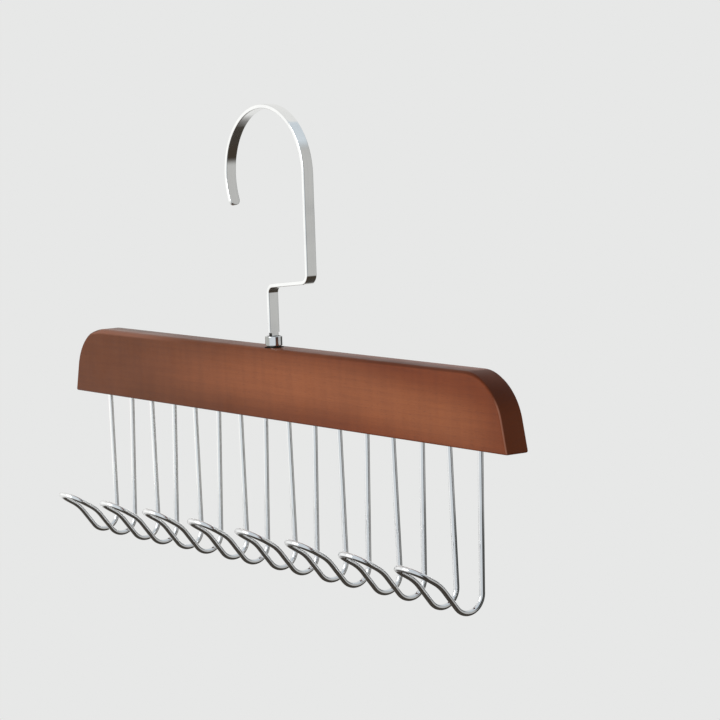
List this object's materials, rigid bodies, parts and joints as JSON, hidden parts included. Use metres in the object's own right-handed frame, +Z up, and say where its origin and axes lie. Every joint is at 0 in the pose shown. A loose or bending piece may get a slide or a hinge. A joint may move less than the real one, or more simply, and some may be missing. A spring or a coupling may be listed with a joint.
{
  "type": "belt hanger",
  "caption": "Lacquered wooden bar with a row of bent wire belt hooks below it and a flat swivelling rail hook above it.",
  "frame": {"origin": "the rail seat: the underside of the hook's crown, on the axis that the bar swivels about", "axes": "+X along the bar, towards the side that the hook strip jogs to; -Y forward, the way the belt hooks' lips point; +Z up"},
  "size_m": [0.3498, 0.0426, 0.2143],
  "materials": {
    "lacquered_wood": "red-brown stained hardwood under a satin lacquer",
    "bright_chrome": "bright chrome plate",
    "plain_steel": "zinc-plated steel, out of sight"
  },
  "bodies": {
    "rail_hook": {"hook_strip": "bright_chrome", "thrust_washer": "plain_steel"},
    "bar": {"wooden_bar": "lacquered_wood", "swivel_collar": "bright_chrome", "belt_hook_1": "bright_chrome", "belt_hook_2": "bright_chrome", "belt_hook_3": "bright_chrome", "belt_hook_4": "bright_chrome", "belt_hook_5": "bright_chrome", "belt_hook_6": "bright_chrome", "belt_hook_7": "bright_chrome", "belt_hook_8": "bright_chrome"}
  },
  "joints": [
    {"name": "swivel", "type": "hinge", "parent": "rail_hook", "child": "bar", "pos_m": [0, 0, -0.11], "axis": [0, 0, 1], "continuous": true}
  ]
}
